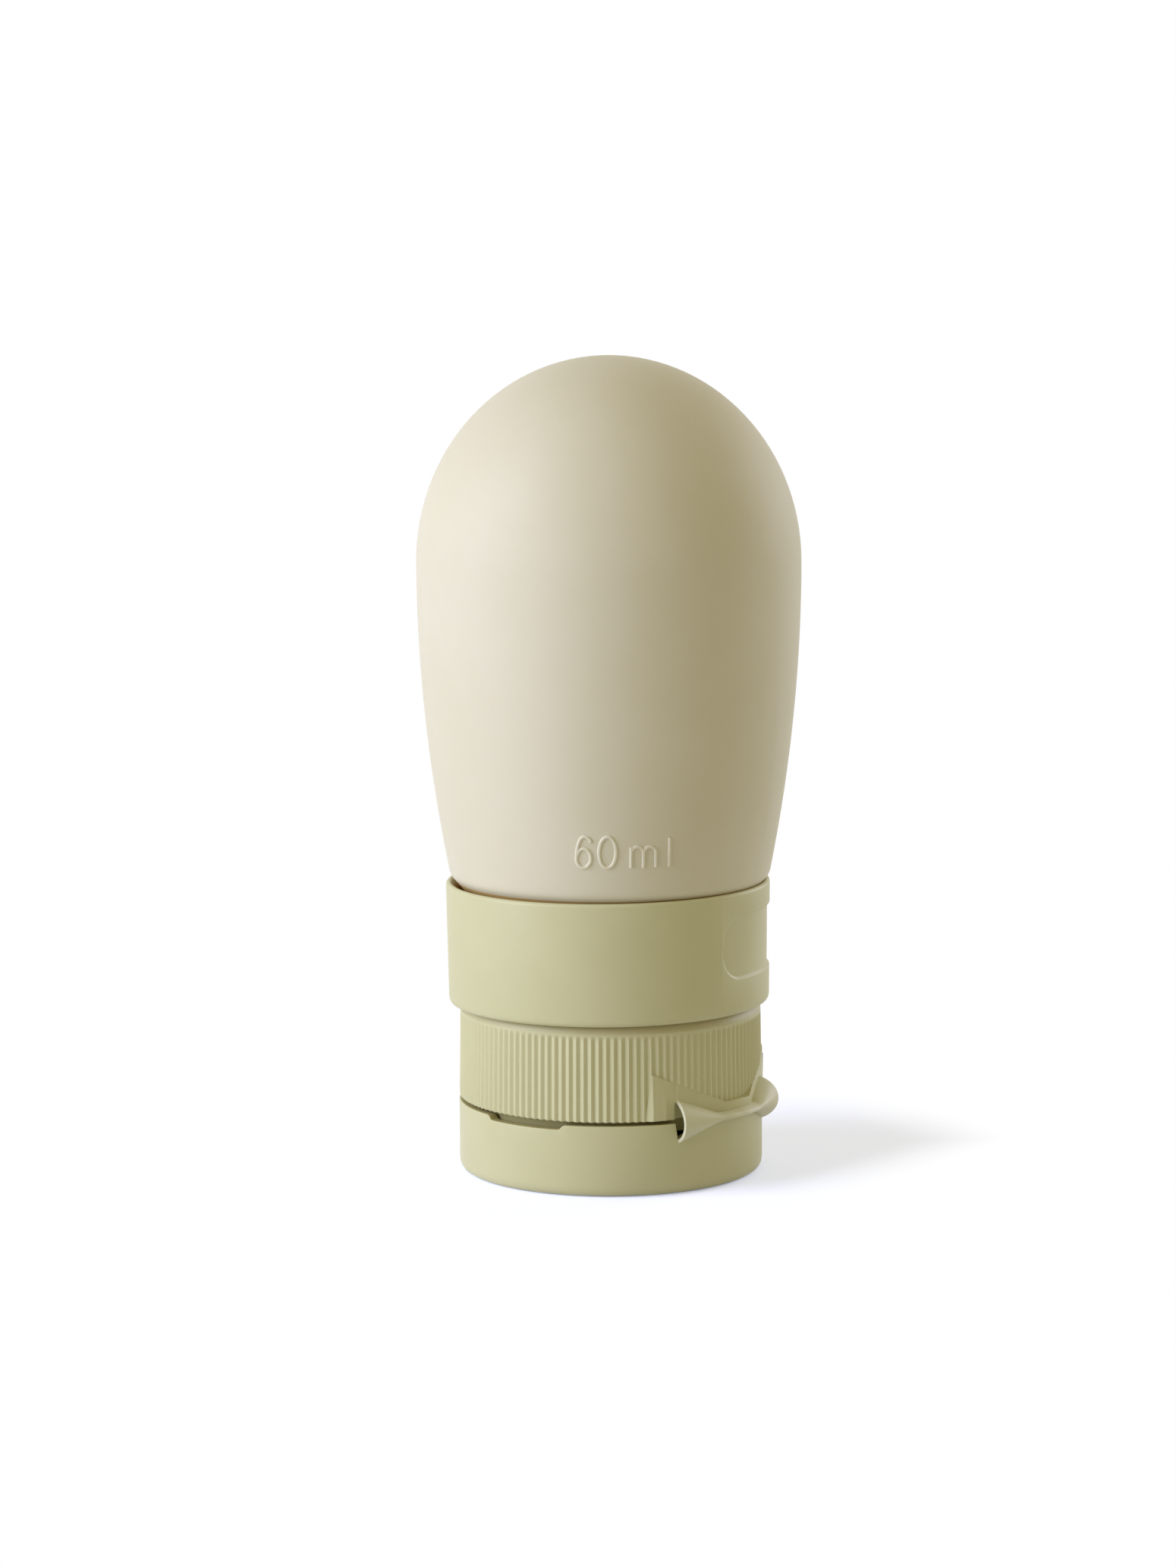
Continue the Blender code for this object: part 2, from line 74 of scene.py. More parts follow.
def workOn(piece=None):
    if bpy.context.mode != "OBJECT":
        bpy.ops.object.mode_set(mode="OBJECT")
    bpy.ops.object.select_all(action="DESELECT")
    if piece:
        piece.select_set(True)
        bpy.context.view_layer.objects.active = piece


def newPiece(name):
    # an empty mesh at the origin, left in edit mode
    workOn()
    bpy.ops.mesh.primitive_plane_add(size=mm)
    piece = bpy.context.object
    piece.name = name
    piece.data.name = name
    bpy.ops.object.mode_set(mode="EDIT")
    bpy.ops.mesh.select_mode(type="VERT")
    bpy.ops.mesh.delete(type="VERT")
    return piece


def drawLine(points):
    # edges through the points, drawn by extruding one vertex
    bpy.ops.mesh.select_all(action="DESELECT")
    bpy.ops.mesh.primitive_plane_add(size=mm, location=points[0])
    bpy.ops.mesh.merge(type="CENTER")
    for here, there in zip(points, points[1:]):
        move = Vector(there) - Vector(here)
        bpy.ops.mesh.extrude_region_move(TRANSFORM_OT_translate={"value": move})


def pick(piece, test):
    # selects the vertices whose place passes the test
    bpy.ops.mesh.select_mode(type="VERT")
    bpy.ops.mesh.select_all(action="DESELECT")
    mesh = bmesh.from_edit_mesh(piece.data)
    for vertex in mesh.verts:
        vertex.select = test(vertex.co)
    mesh.select_flush(True)
    bmesh.update_edit_mesh(piece.data)


def mergeDoubles():
    # everything stays selected
    bpy.ops.mesh.select_all(action="SELECT")
    bpy.ops.mesh.remove_doubles(threshold=mergeGap)


def clean():
    # doubles merged first, then the faces turned outwards
    mergeDoubles()
    bpy.ops.mesh.normals_make_consistent(inside=False)
    bpy.ops.object.mode_set(mode="OBJECT")


def polar(radius, angle, height):
    return (radius * math.cos(angle), radius * math.sin(angle), height)


def softened(corners, steps=4):
    # corners are (radius, height, rounding), and a rounding becomes a curve between its two sides
    points = []
    for index, (radius, height, rounding) in enumerate(corners):
        here = Vector((radius, height))
        if not rounding:
            points.append((radius, height))
            continue
        before = Vector(corners[index - 1][:2])
        after = Vector(corners[(index + 1) % len(corners)][:2])
        start = here + (before - here).normalized() * rounding
        end = here + (after - here).normalized() * rounding
        for step in range(steps + 1):
            share = step / steps
            bend = here * 2 * share * (1 - share)
            spot = start * (1 - share) ** 2 + bend + end * share ** 2
            points.append((spot.x, spot.y))
    return points


def turnedPiece(name, outline, sides, closed=True):
    # an outline of (radius, height) spun about the bottle's axis
    piece = newPiece(name)
    points = [(radius, 0, height) for radius, height in outline]
    drawLine(points + points[:1] if closed else points)
    mergeDoubles()
    bpy.ops.mesh.spin(steps=sides, angle=fullTurn, center=(0, 0, 0), axis=(0, 0, 1))
    clean()
    return piece


def bridgeWhere(piece, test):
    # bridges the two chains of edges that pass the test
    bpy.ops.mesh.select_mode(type="EDGE")
    bpy.ops.mesh.select_all(action="DESELECT")
    mesh = bmesh.from_edit_mesh(piece.data)
    for edge in mesh.edges:
        if test(edge):
            edge.select_set(True)
    bmesh.update_edit_mesh(piece.data)
    bpy.ops.mesh.bridge_edge_loops()


def loftedPiece(name, sections, closed=True):
    # open sections are drawn and bridged in turn, and closing adds the side between their two ends
    piece = newPiece(name)
    for section in sections:
        drawLine(section)
    size = len(sections[0])

    def places(edge):
        return {vertex.index // size for vertex in edge.verts}

    for number in range(len(sections) - 1):
        bridgeWhere(piece, lambda edge: places(edge) in ({number}, {number + 1}))
    if closed:
        bridgeWhere(piece, lambda edge: len(places(edge)) == 2 and edge.is_boundary)
        bpy.ops.mesh.select_all(action="SELECT")
        bpy.ops.mesh.fill_holes(sides=0)
    clean()
    return piece


def bead(name, spots, width, roundness):
    # a round bead along a line, to be half sunk in a surface
    made = newPiece(name)
    drawLine(spots)
    mergeDoubles()
    bpy.ops.object.mode_set(mode="OBJECT")
    bpy.ops.object.convert(target="CURVE")
    made.data.bevel_depth = width / 2
    made.data.bevel_resolution = roundness
    made.data.use_fill_caps = True
    bpy.ops.object.convert(target="MESH")
    bpy.ops.object.mode_set(mode="EDIT")
    clean()
    return made


def combine(piece, tool, operation):
    # joins a tool to a piece or cuts it out, and removes the tool
    change = piece.modifiers.new(operation.lower(), "BOOLEAN")
    change.operation = operation
    change.solver = "EXACT"
    change.object = tool
    workOn(piece)
    bpy.ops.object.modifier_apply(modifier=change.name)
    bpy.data.objects.remove(tool, do_unlink=True)


def turnBy(piece, angle):
    piece.rotation_euler.z = angle
    workOn(piece)
    bpy.ops.object.transform_apply(rotation=True)


def dress(piece, material):
    workOn(piece)
    bpy.ops.object.shade_smooth_by_angle(angle=smoothAngle)
    piece.data.materials.clear()
    piece.data.materials.append(material)


def mount(piece, body, *nodes):
    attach(piece, body)
    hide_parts(*nodes)
    print("made", piece.name, "faces:", len(piece.data.polygons))


# Finishes

class Wire:
    # one socket of a material, so that sums of sockets can be written as Python
    def __init__(self, tree, socket=None):
        self.tree = tree
        self.socket = socket

    def node(self, kind, settings=None, inputs=None, output=0):
        made = self.tree.nodes.new(kind)
        for name, value in (settings or {}).items():
            setattr(made, name, value)
        for name, value in (inputs or {}).items():
            if isinstance(value, Wire):
                self.tree.links.new(value.socket, made.inputs[name])
            else:
                made.inputs[name].default_value = value
        return Wire(self.tree, made.outputs[output]) if made.outputs else None

    def sum(self, operation, first, second=0.0):
        return self.node("ShaderNodeMath", {"operation": operation}, {0: first, 1: second})

    def vector(self, operation, first, second=(0, 0, 0), output="Value"):
        return self.node("ShaderNodeVectorMath", {"operation": operation},
                         {0: first, 1: second}, output)

    def __add__(self, other):
        return self.sum("ADD", self, other)

    def __sub__(self, other):
        return self.sum("SUBTRACT", self, other)

    def __rsub__(self, other):
        return self.sum("SUBTRACT", other, self)

    def __mul__(self, other):
        return self.sum("MULTIPLY", self, other)

    def __truediv__(self, other):
        return self.sum("DIVIDE", self, other)

    __radd__ = __add__
    __rmul__ = __mul__

    def noise(self, place, size, detail):
        return self.node("ShaderNodeTexNoise", {},
                         {"Vector": place, "Scale": 1 / size, "Detail": detail})

    def ease(self, value, low, high):
        return self.node("ShaderNodeMapRange", {"interpolation_type": "SMOOTHSTEP"},
                         {"Value": value, "From Min": low, "From Max": high})

    def around(self, place):
        # how far a place lies from the bottle's axis, and its height
        flat = self.vector("MULTIPLY", place, (1, 1, 0), "Vector")
        return self.vector("LENGTH", flat), self.node("ShaderNodeSeparateXYZ", {}, {0: place}, "Z")

    def blendColor(self, share, first, second):
        # a colour mix has its factor at 0, its colours at 6 and 7, and its result at 2
        return self.node("ShaderNodeMix", {"data_type": "RGBA"},
                         {0: share, 6: first, 7: second}, output=2)


def emptyMaterial(name):
    material = bpy.data.materials.new(name)
    material.use_nodes = True
    material.node_tree.nodes.clear()
    wire = Wire(material.node_tree)
    return material, wire, wire.node("ShaderNodeTexCoord", output="Object")


# what all the moulded finishes share: where flow marks and specks begin and end in the noise
grainLook = {
    "flowFrom": 0.35, "flowTo": 0.65, "speckFrom": 0.66, "speckTo": 0.74,
    "fineDetail": 3.0, "plainDetail": 1.0,
}


def moulded(name, look, *tints):
    # a moulded finish: flow marks in the colour, a spark-eroded grain in the height
    material, wire, place = emptyMaterial(name)
    fine, simple = grainLook["fineDetail"], grainLook["plainDetail"]
    flow = wire.noise(place, look["flowSize"], fine)
    share = wire.ease(flow, grainLook["flowFrom"], grainLook["flowTo"])
    color = wire.blendColor(share, look["color"], look["flowColor"])
    speck = wire.ease(wire.noise(place, look["speckSize"], simple),
                      grainLook["speckFrom"], grainLook["speckTo"])
    color = wire.blendColor(speck * look["speckShare"], color, look["speckColor"])
    # the tints add painted shade and painted highlights, and the hinge's real whitening, to the
    # colour
    for tint in tints:
        color = tint(wire, place, color)
    grain = wire.noise(place, look["grainSize"], fine)
    waves = wire.noise(place, look["waveSize"], simple)
    height = grain * look["grainHeight"] + waves * look["waveHeight"]
    bump = wire.node("ShaderNodeBump", {}, {"Height": height, "Strength": 1.0, "Distance": 1.0})
    middle = (grainLook["flowFrom"] + grainLook["flowTo"]) / 2
    roughness = look["roughness"] + (flow - middle) * look["roughnessSwing"]
    shader = wire.node("ShaderNodeBsdfPrincipled", {"subsurface_method": "RANDOM_WALK"}, {
        "Base Color": color, "Roughness": roughness, "Normal": bump,
        "Specular IOR Level": look["specular"], "Subsurface Weight": look["glow"],
        "Subsurface Radius": look["glowRadius"], "Subsurface Scale": look["glowDepth"]})
    wire.node("ShaderNodeOutputMaterial", {}, {"Surface": shader})
    return material


siliconeLook = {
    "color": (0.698, 0.643, 0.502, 1), "flowColor": (0.683, 0.626, 0.480, 1),
    "speckColor": (0.60, 0.55, 0.42, 1), "speckShare": 0.10, "speckSize": 0.5 * mm,
    "flowSize": 14 * mm, "grainSize": 0.16 * mm, "grainHeight": 0.004 * mm,
    "waveSize": 5 * mm, "waveHeight": 0.02 * mm,
    "roughness": 0.56, "roughnessSwing": 0.08, "specular": 0.4,
    "glow": 0.12, "glowRadius": (1.0, 0.75, 0.45), "glowDepth": 1.2 * mm,
}
oliveLook = {
    "color": (0.594, 0.561, 0.338, 1), "flowColor": (0.578, 0.547, 0.324, 1),
    "speckColor": (0.55, 0.52, 0.30, 1), "speckShare": 0.08, "speckSize": 0.4 * mm,
    "flowSize": 9 * mm, "grainSize": 0.11 * mm, "grainHeight": 0.003 * mm,
    "waveSize": 4 * mm, "waveHeight": 0.012 * mm,
    "roughness": 0.45, "roughnessSwing": 0.07, "specular": 0.42,
    "glow": 0.06, "glowRadius": (1.0, 0.8, 0.4), "glowDepth": 0.6 * mm,
}
innerLook = dict(oliveLook, color=(0.66, 0.63, 0.42, 1), flowColor=(0.64, 0.61, 0.40, 1),
                 roughness=0.42)
clearLook = dict(siliconeLook, color=(0.74, 0.73, 0.68, 1), flowColor=(0.71, 0.70, 0.65, 1),
                 roughness=0.38, glow=0.35, glowDepth=2.0 * mm)
# everywhere: painted light through the hinge's thin wall; middle, core and reach: a spot of real
# bend whitening and painted highlight, centred off the waist's middle
whiteningAndHighlightLook = {
    "middle": 1.6 * mm, "reach": 2.2 * mm, "core": 0.4 * mm, "share": 0.5, "everywhere": 0.28,
    "color": (0.84, 0.82, 0.73, 1),
}


def hingeWhiteningAndHighlight(wire, place, color):
    # the thin hinge is painted paler than the cap, as painted light showing through its thin wall,
    # and its waist paler still: partly real whitening where the plastic has been bent, partly a
    # painted highlight set to one side of the middle
    along = wire.vector("DOT_PRODUCT", place, (-math.sin(hingeAngle), math.cos(hingeAngle), 0))
    far = wire.sum("ABSOLUTE", along - whiteningAndHighlightLook["middle"])
    near = 1 - wire.ease(far, whiteningAndHighlightLook["core"], whiteningAndHighlightLook["reach"])
    share = near * whiteningAndHighlightLook["share"] + whiteningAndHighlightLook["everywhere"]
    return wire.blendColor(share, color, whiteningAndHighlightLook["color"])


def paintedGapShade(band):
    # painted shade: faces beside a narrow gap are painted deeper and warmer, for the shade that
    # falls there and the warm light that gets there off the same plastic
    def tint(wire, place, color):
        radius, height = wire.around(place)
        soft = band["soft"]
        share = wire.ease(radius, band["inside"] - soft, band["inside"])
        share = share * (1 - wire.ease(radius, band["outside"], band["outside"] + soft))
        share = share * wire.ease(height, band["low"] - soft, band["low"])
        share = share * (1 - wire.ease(height, band["high"], band["high"] + soft))
        return wire.blendColor(share * band["share"], color, band["color"])
    return tint


hingeOlive = moulded("hingePlastic", oliveLook, hingeWhiteningAndHighlight)
inner = moulded("innerPlastic", innerLook)
clear = moulded("clearSilicone", clearLook)
print("materials made")


# Silicone body with its capacity mark

bodyLow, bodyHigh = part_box("bottle_body")
collarLow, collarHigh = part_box("label_collar")
body = {
    "radius": bodyHigh.x, "top": bodyHigh.z, "mouth": bodyLow.z, "rim": collarHigh.z,
    "wall": 2.0 * mm, "domeHeight": 24.0 * mm, "flankLength": 36.7 * mm, "flankFoot": 18.82 * mm,
    "rimRadius": 18.1 * mm, "tuckRadius": 17.1 * mm, "tuckDrop": 1.2 * mm,
    "coneHeight": 7.8 * mm, "neckRadius": 13.7 * mm, "neckBore": 12.0 * mm,
    "lipRadius": 15.0 * mm, "lipHeight": 1.4 * mm, "lipRound": 0.3 * mm, "footRound": 0.55 * mm,
    "sides": 160, "domeSteps": 30, "flankSteps": 24,
}
body["widest"] = body["top"] - body["domeHeight"]


def flankRadius(height):
    drop = (body["widest"] - height) / body["flankLength"]
    return body["radius"] - (body["radius"] - body["flankFoot"]) * drop ** 2


def domeLine(radius, height, steps):
    stops = [fullTurn / 4 * step / steps for step in range(steps + 1)]
    return [(radius * math.sin(stop), body["widest"] + height * math.cos(stop)) for stop in stops]


def bodyShell():
    tuck = body["rim"] - body["tuckDrop"]
    neckTop = tuck - body["coneHeight"]
    wall, mouth = body["wall"], body["mouth"]
    heights = [body["widest"] - body["flankLength"] * step / body["flankSteps"]
               for step in range(1, body["flankSteps"])]
    flankBottom = body["widest"] - body["flankLength"]
    corners = [(flankRadius(heights[-1]), heights[-1], 0),
               (body["flankFoot"], flankBottom, body["footRound"]),
               (body["rimRadius"], body["rim"], body["footRound"] / 2),
               (body["tuckRadius"], tuck, body["footRound"]),
               (body["neckRadius"], neckTop, body["footRound"]),
               (body["neckRadius"], mouth + body["lipHeight"], body["lipRound"]),
               (body["lipRadius"], mouth + body["lipHeight"], body["lipRound"]),
               (body["lipRadius"], mouth, body["lipRound"]),
               (body["neckBore"], mouth, body["lipRound"]),
               (body["neckBore"], neckTop, body["footRound"]),
               (body["tuckRadius"] - wall, tuck, body["footRound"]),
               (body["rimRadius"] - wall, body["rim"], 0)]
    outside = domeLine(body["radius"], body["domeHeight"], body["domeSteps"])
    outside += [(flankRadius(height), height) for height in heights[:-1]]
    inside = domeLine(body["radius"] - wall, body["domeHeight"] - wall, body["domeSteps"] // 2)
    inside += [(flankRadius(height) - wall, height) for height in heights[1::2]]
    outline = outside + softened(corners) + inside[::-1]
    return turnedPiece("bottleBody", outline, body["sides"], closed=False)


mark = {
    "foot": 38.8 * mm, "angle": math.radians(-90.2), "stroke": 0.47 * mm, "sunk": 0.05 * mm,
    "turnSteps": 36, "roundness": 2, "digitHalf": 1.83 * mm,
    "six": -4.49 * mm, "sixHalf": 0.82 * mm, "bowlHalf": 1.12 * mm, "hookHalf": 0.75 * mm,
    "zero": -1.78 * mm, "zeroHalf": 0.97 * mm,
    "stem": 0.91 * mm, "stemHeight": 2.42 * mm, "archHalf": 0.72 * mm, "archFoot": 1.74 * mm,
    "bar": 5.41 * mm, "barHeight": 3.42 * mm,
    "spineStart": 0.48, "crown": 0.25, "hookEnd": 0.03, "archStart": 0.46,
    # pale: how far above the flank the painted highlight begins and ends, its colour and its share
    "paleFrom": 0.02 * mm, "paleTo": 0.10 * mm, "paleColor": (0.80, 0.765, 0.63, 1),
    "paleShare": 0.35,
}


def markPaintedHighlight(wire, place, color):
    # painted highlight: the raised mark's top is painted paler than the flank that it stands on
    radius, height = wire.around(place)
    drop = (body["widest"] - height) / body["flankLength"]
    flank = body["radius"] - drop * drop * (body["radius"] - body["flankFoot"])
    proud = wire.ease(radius - flank, mark["paleFrom"], mark["paleTo"])
    proud = proud * wire.ease(height, body["rim"], mark["foot"] - mark["stroke"])
    return wire.blendColor(proud * mark["paleShare"], color, mark["paleColor"])


def bow(across, up, halfWidth, halfHeight, start=0, end=1):
    # part of an ellipse, between two shares of a full turn
    count = round(mark["turnSteps"] * abs(end - start))
    stops = [fullTurn * (start + (end - start) * step / count) for step in range(count + 1)]
    return [(across + halfWidth * math.cos(stop), up + halfHeight * math.sin(stop))
            for stop in stops]


def markLines():
    # the strokes of "60 ml", as places across and up from the middle of its foot line
    six, zero, stem, bar = mark["six"], mark["zero"], mark["stem"], mark["bar"]
    half, top = mark["sixHalf"], 2 * mark["digitHalf"]
    hook, arch, bowl = mark["hookHalf"], mark["archHalf"], mark["bowlHalf"]
    spine = bow(six, bowl, half, top - bowl, mark["spineStart"], mark["crown"])
    lines = [bow(six, bowl, half, bowl),
             spine + bow(six, top - hook, half, hook, mark["crown"], mark["hookEnd"])[1:],
             bow(zero, mark["digitHalf"], mark["zeroHalf"], mark["digitHalf"]),
             [(stem, 0), (stem, mark["stemHeight"])], [(bar, 0), (bar, mark["barHeight"])]]
    rise = mark["stemHeight"] - mark["archFoot"]
    for middle in (stem + arch, stem + 3 * arch):
        line = bow(middle, mark["archFoot"], arch, rise, mark["archStart"], 0)
        lines.append(line + [(middle + arch, 0)])
    return lines


def onFlank(line):
    # a line across and up, laid on the body's flank
    spots = []
    for across, up in line:
        height = mark["foot"] + up
        radius = flankRadius(height) - mark["sunk"]
        spots.append(polar(radius, mark["angle"] + across / radius, height))
    return spots


bottleBody = bodyShell()
for line in markLines():
    stroke = bead("markStroke", onFlank(line), mark["stroke"], mark["roundness"])
    combine(bottleBody, stroke, "UNION")
# painted shade on the body where it tucks into the collar's rim
bodyGapShade = {
    "inside": 0, "outside": body["radius"], "low": body["rim"] - body["tuckDrop"] - body["wall"],
    "high": body["rim"] + 0.05 * mm, "soft": 0.1 * mm, "color": (0.62, 0.40, 0.13, 1), "share": 0.9,
}
creamSilicone = moulded("creamSilicone", siliconeLook, markPaintedHighlight, paintedGapShade(bodyGapShade))
dress(bottleBody, creamSilicone)
mount(bottleBody, "bottle", "bottle_body")


# Label collar, a loose ring that has slid a little to one side

collar = {
    "low": collarLow.z, "high": collarHigh.z, "bore": 17.8 * mm, "foot": 18.9 * mm,
    "head": 19.1 * mm, "boreRound": 0.15 * mm, "footRound": 0.75 * mm, "headRound": 0.45 * mm,
    "rimWall": 0.6 * mm, "rimRound": 0.2 * mm, "tuckDrop": 1.2 * mm, "ribBore": 17.1 * mm,
    "ribHeight": 26.75 * mm, "ribHalf": 0.4 * mm, "ribRound": 0.15 * mm, "sides": 240,
    "shift": -0.2 * mm, "lean": math.radians(0.4),
}
panel = {
    "width": 24.3 * mm, "height": 7.2 * mm, "corner": 3.2 * mm, "soft": 0.22 * mm,
    "angle": math.radians(-13.6), "columns": 60, "cornerSteps": 8, "slit": 0.03 * mm,
    "rise": 0.7 * mm,
    # the rim's profile: how far out it lies, as a share of soft, and how deep
    "levels": ((4, -1.2 * mm), (1.2, -0.02 * mm), (0.7, 0.012 * mm), (0, 0.15 * mm),
               (-0.7, 0.288 * mm), (-1.2, 0.3 * mm)),
}


def collarRing():
    ribSide = collar["bore"] - collar["ribBore"]
    foot = collar["ribHeight"] - collar["ribHalf"]
    head = collar["ribHeight"] + collar["ribHalf"]
    corners = [(collar["bore"], collar["low"], collar["boreRound"]),
               (collar["foot"], collar["low"], collar["footRound"]),
               (collar["head"], collar["high"], collar["headRound"]),
               (collar["head"] - collar["rimWall"], collar["high"], collar["rimRound"]),
               (collar["bore"], collar["high"] - collar["tuckDrop"], collar["rimRound"]),
               (collar["bore"], head + ribSide, collar["ribRound"]),
               (collar["ribBore"], head, collar["ribRound"]),
               (collar["ribBore"], foot, collar["ribRound"]),
               (collar["bore"], foot - ribSide, collar["ribRound"])]
    return turnedPiece("labelCollar", softened(corners), collar["sides"])


def panelCutter():
    # a plate with round corners and a soft rim, drawn in columns and bent round the ring
    def chain(offset, depth):
        width, height = panel["width"] / 2 + offset, panel["height"] / 2 + offset
        corner = panel["corner"] + offset
        count, straight = panel["cornerSteps"], width - corner
        turns = [fullTurn / 4 * step / count for step in range(count + 1)]
        end = [(width, panel["slit"])]
        end += [(straight + corner * math.cos(turn), height - corner + corner * math.sin(turn))
                for turn in turns]
        run = [(straight * (1 - 2 * step / panel["columns"]), height)
               for step in range(1, panel["columns"])]
        line = end + run + [(-x, z) for x, z in end[::-1]]
        return [(x, depth, z) for x, z in line]

    levels = [chain(panel["soft"] * offset, depth) for offset, depth in panel["levels"]]
    sections = []
    for column in zip(*levels):
        sections.append(list(column) + [(x, y, -z) for x, y, z in column[::-1]])
    cutter = loftedPiece("panelCutter", sections)
    middle = (collar["low"] + collar["high"]) / 2 + panel["rise"]
    radius = (collar["foot"] + collar["head"]) / 2
    cutter.rotation_euler.x = (collar["head"] - collar["foot"]) / (collar["high"] - collar["low"])
    workOn(cutter)
    bpy.ops.object.transform_apply(rotation=True)
    bend = cutter.modifiers.new("bend", "SIMPLE_DEFORM")
    bend.deform_method = "BEND"
    bend.deform_axis = "Z"
    bend.angle = cutter.dimensions.x / radius
    bpy.ops.object.modifier_apply(modifier=bend.name)
    cutter.location = (0, -radius, middle)
    bpy.ops.object.transform_apply(location=True)
    turnBy(cutter, panel["angle"] + fullTurn / 4)
    return cutter


labelCollar = collarRing()
combine(labelCollar, panelCutter(), "DIFFERENCE")
middle = Vector((0, 0, (collar["low"] + collar["high"]) / 2))
lean = Matrix.Rotation(collar["lean"], 4, Vector(polar(1, viewAngle, 0)))
shift = Matrix.Translation(middle + Vector((collar["shift"], 0, 0)))
labelCollar.matrix_world = shift @ lean @ Matrix.Translation(-middle)
bpy.ops.object.transform_apply()
# painted shade on the collar's inner faces, in the gap round the bottle
collarGapShade = {
    "inside": 0, "outside": collar["head"] - collar["rimWall"] - 0.2 * mm, "low": collar["low"],
    "high": collar["high"], "soft": 0.15 * mm, "color": (0.60, 0.36, 0.10, 1), "share": 0.9,
}
dress(labelCollar, moulded("collarPlastic", oliveLook, paintedGapShade(collarGapShade)))
mount(labelCollar, "collar", "label_collar")


# Threaded sleeve on the neck

sleeveLow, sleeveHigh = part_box("neck_sleeve")
sleeve = {
    "low": sleeveLow.z, "bore": 14.0 * mm, "root": 15.1 * mm, "barrelLow": 20.8 * mm,
    "barrel": 17.3 * mm, "barrelHigh": sleeveHigh.z, "groove": 16.6 * mm, "grooveHalf": 1.4 * mm,
    "grooveHeight": 26.75 * mm, "coneLow": 25.5 * mm, "coneSlope": 3.4 / 7.8,
    "seatProud": 0.03 * mm, "round": 0.25 * mm, "sides": 128,
}
thread = {
    "low": 14.0 * mm, "high": 19.1 * mm, "pitch": 4.23 * mm, "depth": 0.9 * mm, "root": 1.6 * mm,
    "crest": 0.6 * mm, "sunk": 0.3 * mm, "steps": 64, "runIn": 5,
}


def threadRidge():
    # a ridge wound round the sleeve, which grows out of it and sinks back at its ends
    low, high = thread["low"], thread["high"]
    count = math.ceil(thread["steps"] * (high - low) / thread["pitch"])
    root = sleeve["root"] - thread["sunk"]
    sections = []
    for step in range(count + 1):
        height = low + (high - low) * step / count
        angle = fullTurn * (height - low) / thread["pitch"]
        rise = min(1, step / thread["runIn"], (count - step) / thread["runIn"])
        crest = sleeve["root"] + (thread["depth"] * rise - thread["sunk"] / 2 * (1 - rise))
        sections.append([polar(radius, angle, height + width / 2) for radius, width in (
            (root, -thread["root"]), (crest, -thread["crest"]), (crest, thread["crest"]),
            (root, thread["root"]))])
    return loftedPiece("sleeveRidge", sections)


def neckSleeve():
    soft = sleeve["round"]
    coneTop = (sleeve["bore"] + (sleeve["barrelHigh"] - sleeve["coneLow"]) * sleeve["coneSlope"]
               + sleeve["seatProud"])
    foot = sleeve["grooveHeight"] - sleeve["grooveHalf"]
    head = sleeve["grooveHeight"] + sleeve["grooveHalf"]
    corners = [(sleeve["bore"], sleeve["low"], soft / 2),
               (sleeve["root"], sleeve["low"], soft / 2),
               (sleeve["root"], sleeve["barrelLow"], soft),
               (sleeve["barrel"], sleeve["barrelLow"], soft),
               (sleeve["barrel"], foot, soft), (sleeve["groove"], foot, soft / 2),
               (sleeve["groove"], head, soft / 2), (sleeve["barrel"], head, soft),
               (sleeve["barrel"], sleeve["barrelHigh"], soft / 2),
               (coneTop, sleeve["barrelHigh"], 0), (sleeve["bore"], sleeve["coneLow"], 0)]
    made = turnedPiece("neckSleeve", softened(corners, steps=2), sleeve["sides"])
    combine(made, threadRidge(), "UNION")
    return made


threadedSleeve = neckSleeve()
dress(threadedSleeve, inner)
mount(threadedSleeve, "bottle", "neck_sleeve")


# The butterfly hinge's outline, which the cap and the lid leave open behind its wings. Cap, lid and
# hinge are drawn with the hinge's middle on +X, and turned to its place when they are finished.

wing = {
    "halfAngle": math.radians(29), "halfHeight": 2.4 * mm, "waistAngle": math.radians(12),
    "waistHeight": 0.3 * mm, "curve": 0.92, "bulge": 1.48 * mm, "waistBulge": 0.75 * mm,
    "gap": 0.3 * mm, "lean": math.radians(68), "wall": 0.38 * mm, "stations": 44, "steps": 18,
    "sunk": 0.2 * mm, "windowStart": 12, "windowEnd": 30, "windowEdge": 0.3 * mm,
    "softWidth": 0.1 * mm, "softSteps": 2, "softAngle": math.radians(50), "bendHalf": 0.5 * mm,
}
land = {
    "normal": math.radians(24), "plane": 17.6 * mm, "stripPlane": 18.27 * mm,
    "outer": 4.65 * mm, "outerHeight": 5.5 * mm, "stripHeight": 1.3 * mm, "endRun": 0.9 * mm,
    "topRun": 0.15 * mm, "footGap": 0.1 * mm, "trim": 0.1 * mm, "back": 17.1 * mm,
    "topProud": 0.06 * mm, "columns": 12,
}
land["innerAngle"] = math.atan((land["plane"] / land["stripPlane"] - math.cos(land["normal"]))
                               / math.sin(land["normal"]))
land["outerAngle"] = land["normal"] + math.atan(land["outer"] / land["plane"])


def wingShare(angle):
    # 0 at the hinge's waist, 1 at the end of a wing
    return max(0, (abs(angle) - wing["waistAngle"]) / (wing["halfAngle"] - wing["waistAngle"]))


def wingHalf(angle):
    # how far a wing reaches above and below the parting
    growth = wing["halfHeight"] - wing["waistHeight"]
    return wing["waistHeight"] + growth * wingShare(angle) ** wing["curve"]


def landRadius(angle):
    # two flat facets let into the skirt, with a flat strip between them
    facet = land["plane"] / math.cos(abs(angle) - land["normal"])
    return min(facet, land["stripPlane"] / math.cos(angle))


def landTop(angle):
    # a facet's outer part leans in, so that its top is nearly level with the ribs
    level = cap["radius"] + land["topProud"]
    return min(landRadius(angle), level) if abs(angle) > land["normal"] else landRadius(angle)


